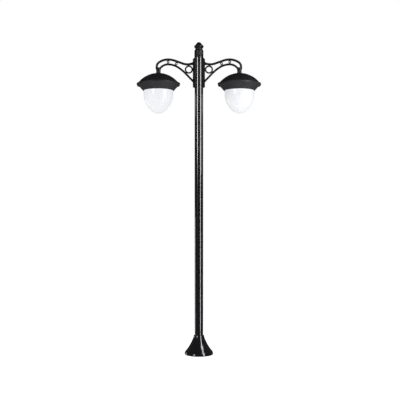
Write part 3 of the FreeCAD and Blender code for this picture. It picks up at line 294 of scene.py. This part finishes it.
def turned(outline, segments, swell=None):
    """A ring or solid turned about the vertical axis from a closed outline of (radius, height).

    swell(angle, radius, height) gives how far the surface stands proud there.
    """
    bm = bmesh.new()
    rings = []
    for step in range(segments):
        angle = 2 * math.pi * step / segments
        ring = []
        for radius, height in outline:
            reach = radius
            if swell is not None:
                reach += swell(angle, radius, height)
            ring.append(bm.verts.new((reach * math.cos(angle), reach * math.sin(angle), height)))
        rings.append(ring)
    for step, ring in enumerate(rings):
        following = rings[(step + 1) % segments]
        for index in range(len(outline)):
            after = (index + 1) % len(outline)
            bm.faces.new((ring[index], following[index], following[after], ring[after]))
    bmesh.ops.remove_doubles(bm, verts=bm.verts, dist=MERGE_DISTANCE)
    bmesh.ops.recalc_face_normals(bm, faces=bm.faces)
    return bm


def cutter(bm):
    """An object to carve with, which carve() removes."""
    bmesh.ops.recalc_face_normals(bm, faces=bm.faces)
    return link_mesh("cutter", bm)


def rod(radius, length, position, segments):
    """A rod to drill with, whose middle and direction a matrix gives."""
    bm = bmesh.new()
    bmesh.ops.create_cone(
        bm,
        cap_ends=True,
        segments=segments,
        radius1=radius,
        radius2=radius,
        depth=length,
        matrix=position,
    )
    return cutter(bm)


def rod_along_x(radius, length, height):
    """A rod across the post's axis, to drill both walls of the pole with."""
    position = Matrix.Translation((0, 0, height)) @ ALONG_X
    return rod(radius, length, position, segments=48)


def screw_holes(radius, height):
    """Three rods from the axis outwards, where a collar's screws go through."""
    screws = 3
    length = 0.2
    tools = []
    for step in range(screws):
        around = Matrix.Rotation(math.radians(360 / screws * step), 4, "Z")
        outwards = Matrix.Translation((length / 2, 0, height)) @ ALONG_X
        tools.append(rod(radius, length, around @ outwards, segments=32))
    return tools


def block_between(low, high):
    """A block between two corners, to cut with."""
    bm = bmesh.new()
    middle = [(a + b) / 2 for a, b in zip(low, high)]
    spans = [b - a for a, b in zip(low, high)]
    position = Matrix.Translation(middle) @ Matrix.Diagonal((*spans, 1))
    bmesh.ops.create_cube(bm, size=1, matrix=position)
    return cutter(bm)


def carve(piece, tools):
    """Cuts the tools out of a piece and removes them."""
    for tool in tools:
        modifier = piece.modifiers.new("carve", "BOOLEAN")
        modifier.operation = "DIFFERENCE"
        modifier.solver = "EXACT"
        modifier.object = tool
    bpy.context.view_layer.update()
    graph = bpy.context.evaluated_depsgraph_get()
    mesh = bpy.data.meshes.new_from_object(piece.evaluated_get(graph))
    piece.modifiers.clear()
    piece.data = mesh
    finish_mesh(mesh)
    for tool in tools:
        bpy.data.objects.remove(tool)


def arc(start, end, radius, steps):
    """Points along the short arc from start to end; the radius is negative where it turns right."""
    chord = (end[0] - start[0], end[1] - start[1])
    span = math.hypot(*chord)
    rise = math.copysign(math.sqrt(radius * radius - span * span / 4), radius)
    centre = (
        (start[0] + end[0]) / 2 - chord[1] / span * rise,
        (start[1] + end[1]) / 2 + chord[0] / span * rise,
    )
    first = math.atan2(start[1] - centre[1], start[0] - centre[0])
    turn = 2 * math.asin(span / 2 / radius)
    points = []
    for step in range(steps + 1):
        angle = first + turn * step / steps
        points.append(
            (
                centre[0] + abs(radius) * math.cos(angle),
                centre[1] + abs(radius) * math.sin(angle),
            )
        )
    return points


def metres(points):
    """Turns an outline in millimetres into one in metres."""
    return [(radius / MM, height / MM) for radius, height in points]


def make_pole():
    """The pole tube with its door opening and the holes under the arms, smooth as a drawn tube."""
    wall = 0.003
    door_gap = 0.0008
    low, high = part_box("pole_tube")
    outer = high.x
    inner = outer - wall
    outline = [(inner, low.z), (outer, low.z), (outer, high.z), (inner, high.z)]
    pole = add_piece("pole", turned(outline, segments=256), "pole_coat", "post")
    beyond = 2 * outer
    door_low, door_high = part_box("service_door")
    opening = block_between(
        (door_low.x - door_gap, 0, door_low.z - door_gap),
        (door_high.x + door_gap, beyond, door_high.z + door_gap),
    )
    tools = [opening]
    nuts_low, nuts_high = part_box("rivet_nuts_right")
    nut_radius = (nuts_high.y - nuts_low.y) / 2
    for height in (nuts_low.z + nut_radius, nuts_high.z - nut_radius):
        tools.append(rod_along_x(nut_radius, 2 * beyond, height))
    grommet_low, grommet_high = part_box("cable_grommet_right")
    grommet_radius = (grommet_high.z - grommet_low.z) / 2
    grommet_height = (grommet_low.z + grommet_high.z) / 2
    tools.append(rod_along_x(grommet_radius, 2 * beyond, grommet_height))
    carve(pole, tools)
    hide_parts("pole_tube")


def make_foot_weld():
    """The weld bead between the pole and the base plate, with its ripples."""
    leg = 0.006
    in_pole, in_plate = 0.0005, 0.0003  # how far the bead sinks into each, so that no gap shows
    ripples, ripple_height = 120, 0.0005
    bulge, flattening = 0.12, 0.98
    steps = 8
    pole_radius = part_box("pole_tube")[1].x
    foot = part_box("base_plate")[1].z

    def ripple(angle, radius, height):
        return ripple_height * math.sin(ripples * angle) * (radius - pole_radius) / leg

    outline = [(pole_radius - in_pole, foot - in_plate), (pole_radius - in_pole, foot + leg)]
    for step in range(1, steps):
        turn = math.radians(90 - 90 * step / steps)
        reach = leg * (1 + bulge * math.sin(2 * turn))
        outline.append(
            (
                pole_radius + reach * math.cos(turn),
                foot + reach * math.sin(turn) * flattening,
            )
        )
    outline.append((pole_radius + leg, foot - in_plate))
    bead = turned(outline, segments=720, swell=ripple)
    add_piece("foot_weld", bead, "galvanised_steel", "post")


def make_bell():
    """The base cover, spun smooth, with its collar and the holes for its screws.

    Sizes are in millimetres. The outline goes up the outside, over the collar and down the
    inside.
    """
    fit = 0.8
    collar_wall, collar_height, bevel = 9, 12, 1.5
    screw_drop, screw_radius = 6, 3
    rim_inset, rim_edge, rim_height = 5, 1, 2
    lip_inset, lip_height, lip_curve = 8, 31, 42
    flare_curve, flare_step, flare_rise = -409, 1, 4
    inner_curve = 414
    inner_inset, inner_height, inner_drop = 14, 30, 6
    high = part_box("base_cover")[1]
    foot = high.x * MM
    top = high.z * MM
    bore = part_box("pole_tube")[1].x * MM + fit
    collar = bore + collar_wall
    low = top - collar_height
    lip = (foot - lip_inset, lip_height)
    outline = [(foot - rim_inset, 0), (foot - rim_edge, 0)]
    outline += arc((foot, rim_height), lip, lip_curve, steps=12)
    outline += arc(lip, (collar + flare_step, low), flare_curve, steps=24)[1:]
    outline += [(collar, low + flare_rise), (collar, top - bevel)]
    outline += [(collar - bevel / 3, top - bevel / 3), (collar - bevel, top), (bore, top)]
    inner_foot = (foot - inner_inset, inner_height)
    outline += arc((bore, low - inner_drop), inner_foot, inner_curve, steps=24)
    shell = turned(metres(outline), segments=192)
    bell = add_piece("bell", shell, "pole_coat", "base_cover")
    carve(bell, screw_holes(screw_radius / MM, (top - screw_drop) / MM))
    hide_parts("base_cover")


def make_finial():
    """The cast finial with fine upright reeds on its skirt.

    Sizes are in millimetres, and heights are drops from the top. The outline starts inside at
    the seat on the pole, and goes down the bore, up the outside and over the button.
    """
    fit, wall = 0.2, 1.9
    seat, skirt_end, skirt_edge = 92, 147, 0.8
    band_low, reeds_low, reeds_high, band_high = 124, 122, 96, 94
    reeds, reed_rows, reed_sink, reed_relief, row_margin = 24, 9, 0.6, 0.9, 0.5
    screw_rise, screw_radius = 14, 2.5
    shoulder, shoulder_curve = 88, 18
    neck_radius, neck_low, neck_high = 33.7, 68, 60
    bulb_low, bulb_high, bulb_curve = (40.2, 51), (39.2, 29), 13
    brow = (29, 18)
    button_low, button_flat, button_curve = (23, 12), 13, 15
    axis = 0.02  # a pinhole's radius, so that no faces meet in a point
    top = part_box("finial")[1].z * MM
    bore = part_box("pole_tube")[1].x * MM + fit
    outer = bore + wall
    skirt_low = top - skirt_end

    def at(radius, drop):
        return (radius, top - drop)

    def reed(angle, radius, height):
        if not top - reeds_low - row_margin < height * MM < top - reeds_high + row_margin:
            return 0
        return reed_relief / MM * (abs(math.cos(reeds * angle / 2)) - 0.5)

    outline = [at(axis, seat), at(bore, seat), (bore, skirt_low), (outer - reed_sink, skirt_low)]
    outline += [(outer, skirt_low + skirt_edge), at(outer, band_low)]
    for row in range(reed_rows):
        climb = row * (reeds_low - reeds_high) / (reed_rows - 1)
        outline.append((outer - reed_sink, top - reeds_low + climb))
    outline.append(at(outer, band_high))
    outline += arc(at(outer, shoulder), at(neck_radius, neck_low), shoulder_curve, steps=10)
    outline.append(at(neck_radius, neck_high))
    outline += arc(at(*bulb_low), at(*bulb_high), bulb_curve, steps=12)
    outline.append(at(*brow))
    outline += arc(at(*button_low), at(button_flat, 0), button_curve, steps=8)
    outline.append(at(axis, 0))
    casting = turned(metres(outline), segments=192, swell=reed)
    finial = add_piece("finial_reeded", casting, "cast_coat", "post")
    carve(finial, screw_holes(screw_radius / MM, (skirt_low + screw_rise) / MM))
    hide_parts("finial")


make_pole()
make_foot_weld()
make_bell()
make_finial()


# Floor, light and camera.

def add_floor():
    """A plain pale floor, bright enough to leave only a faint shadow at the foot."""
    reach = 40.0
    clearance = 0.0005
    mesh = bpy.data.meshes.new("floor")
    corners = [(-reach, -reach, 0), (reach, -reach, 0), (reach, reach, 0), (-reach, reach, 0)]
    mesh.from_pydata(corners, [], [(0, 1, 2, 3)])
    floor = bpy.data.objects.new("floor", mesh)
    bpy.context.scene.collection.objects.link(floor)
    floor.location.z = cad_box[0][2] - clearance
    material, tree, shader = new_material("floor_white")
    vary_colour(tree, shader, noise(tree, 3), (0.84, 0.84, 0.84), (0.86, 0.86, 0.86))
    shader.inputs["Roughness"].default_value = 0.9
    shader.inputs["Emission Color"].default_value = (1, 1, 1, 1)
    shader.inputs["Emission Strength"].default_value = 0.98
    mesh.materials.append(material)
    floor.visible_glossy = False


def add_world():
    """A white surround for the camera, and a dim one for the light that falls on the object."""
    world = bpy.data.worlds.new("studio")
    world.use_nodes = True
    tree = world.node_tree
    dim = tree.nodes["Background"]
    dim.inputs["Color"].default_value = (0.06, 0.06, 0.0625, 1)
    white = tree.nodes.new("ShaderNodeBackground")
    white.inputs["Color"].default_value = (1, 1, 1, 1)
    rays = tree.nodes.new("ShaderNodeLightPath")
    mix = tree.nodes.new("ShaderNodeMixShader")
    tree.links.new(rays.outputs["Is Camera Ray"], mix.inputs["Fac"])
    tree.links.new(dim.outputs["Background"], mix.inputs[1])
    tree.links.new(white.outputs["Background"], mix.inputs[2])
    tree.links.new(mix.outputs["Shader"], tree.nodes["World Output"].inputs["Surface"])
    bpy.context.scene.world = world


def add_strip(name, azimuth, distance, low, high, width, radiance, glossy):
    """A tall soft light facing the post, from the height low to high.

    Azimuth is in degrees from the camera's side towards +X. Unless it is glossy, no reflection of
    it shows.
    """
    middle = (low + high) / 2
    light = bpy.data.lights.new(name, "AREA")
    light.shape = "RECTANGLE"
    light.size = width
    light.size_y = high - low
    light.energy = radiance * math.pi * width * (high - low)
    strip = bpy.data.objects.new(name, light)
    angle = math.radians(azimuth)
    strip.location = (distance * math.sin(angle), -distance * math.cos(angle), middle)
    target = Vector((0, 0, middle))
    strip.rotation_euler = (target - strip.location).to_track_quat("-Z", "Y").to_euler()
    strip.visible_camera = False
    strip.visible_glossy = glossy
    bpy.context.scene.collection.objects.link(strip)


# Each row: name, azimuth, distance, low, high, width, radiance, glossy.
strips = [
    ("light_right_high", 55, 1.9, 1.8, 3.8, 0.3, 7.0, True),
    ("light_right", 42, 3.0, -0.4, 4.2, 0.4, 10.0, True),
    ("light_left", -38, 20.0, 3.2, 7.8, 3.4, 14.0, True),
    ("light_soft_left", -70, 1.9, 1.9, 3.0, 0.6, 4.0, False),
    ("light_rim", -124, 8.0, -1.2, 1.2, 1.33, 4.0, True),
]


def add_camera():
    """The camera at the photograph's viewing angle: level, at about the post's middle height."""
    data = bpy.data.cameras.new("camera")
    data.lens = 65.1
    data.shift_y = 0.0195
    camera = bpy.data.objects.new("camera", data)
    camera.location = (0.0106, -6.965, 1.408)
    camera.rotation_euler = (math.radians(90), 0, 0)
    bpy.context.scene.collection.objects.link(camera)
    bpy.context.scene.camera = camera


add_floor()
add_world()
for strip_settings in strips:
    add_strip(*strip_settings)
add_camera()
bpy.context.scene.view_settings.view_transform = "Standard"
